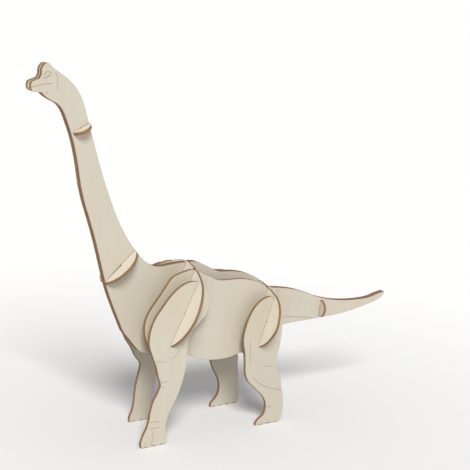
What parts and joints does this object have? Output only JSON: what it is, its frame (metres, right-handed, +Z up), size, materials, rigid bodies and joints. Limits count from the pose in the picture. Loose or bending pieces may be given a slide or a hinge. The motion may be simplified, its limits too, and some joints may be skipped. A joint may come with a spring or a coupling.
{
  "type": "slot-together plywood dinosaur",
  "caption": "Long-necked dinosaur puzzle of thin flat plywood plates held together by half-lap slots.",
  "frame": {"origin": "middle of the outline's footprint, on the surface the feet stand on", "axes": "+X forward to the head, +Y to the dinosaur's left, +Z up"},
  "size_m": [0.226, 0.0514, 0.185],
  "materials": {
    "body_ply": "matte",
    "rib_ply": "matte",
    "leg_ply": "matte"
  },
  "bodies": {
    "core": {"left_profile": "body_ply", "right_profile": "body_ply", "left_flank": "body_ply", "right_flank": "body_ply", "shoulder_rib": "rib_ply", "hip_rib": "rib_ply"},
    "left_front": {"left_front_leg": "leg_ply"},
    "right_front": {"right_front_leg": "leg_ply"},
    "left_rear": {"left_rear_leg": "leg_ply"},
    "right_rear": {"right_rear_leg": "leg_ply"},
    "upper_collar": {"upper_neck_collar": "rib_ply"},
    "lower_collar": {"lower_neck_collar": "rib_ply"},
    "tail_ring": {"tail_collar": "rib_ply"}
  },
  "joints": [
    {"name": "left_front_leg_slide", "type": "slide", "parent": "core", "child": "left_front", "axis": [0.4274, 0, -0.9041], "range_m": [0, 0.0352]},
    {"name": "right_front_leg_slide", "type": "slide", "parent": "core", "child": "right_front", "axis": [0.4274, 0, -0.9041], "range_m": [0, 0.0352]},
    {"name": "left_rear_leg_slide", "type": "slide", "parent": "core", "child": "left_rear", "axis": [0.2924, 0, -0.9563], "range_m": [0, 0.027]},
    {"name": "right_rear_leg_slide", "type": "slide", "parent": "core", "child": "right_rear", "axis": [0.2924, 0, -0.9563], "range_m": [0, 0.027]},
    {"name": "upper_collar_slide", "type": "slide", "parent": "core", "child": "upper_collar", "axis": [-0.9018, 0, 0.4321], "range_m": [0, 0.0091]},
    {"name": "lower_collar_slide", "type": "slide", "parent": "core", "child": "lower_collar", "axis": [-0.7581, 0, 0.6521], "range_m": [0, 0.0218]},
    {"name": "tail_ring_slide", "type": "slide", "parent": "core", "child": "tail_ring", "axis": [0, 0, -1], "range_m": [0, 0.0097]}
  ]
}
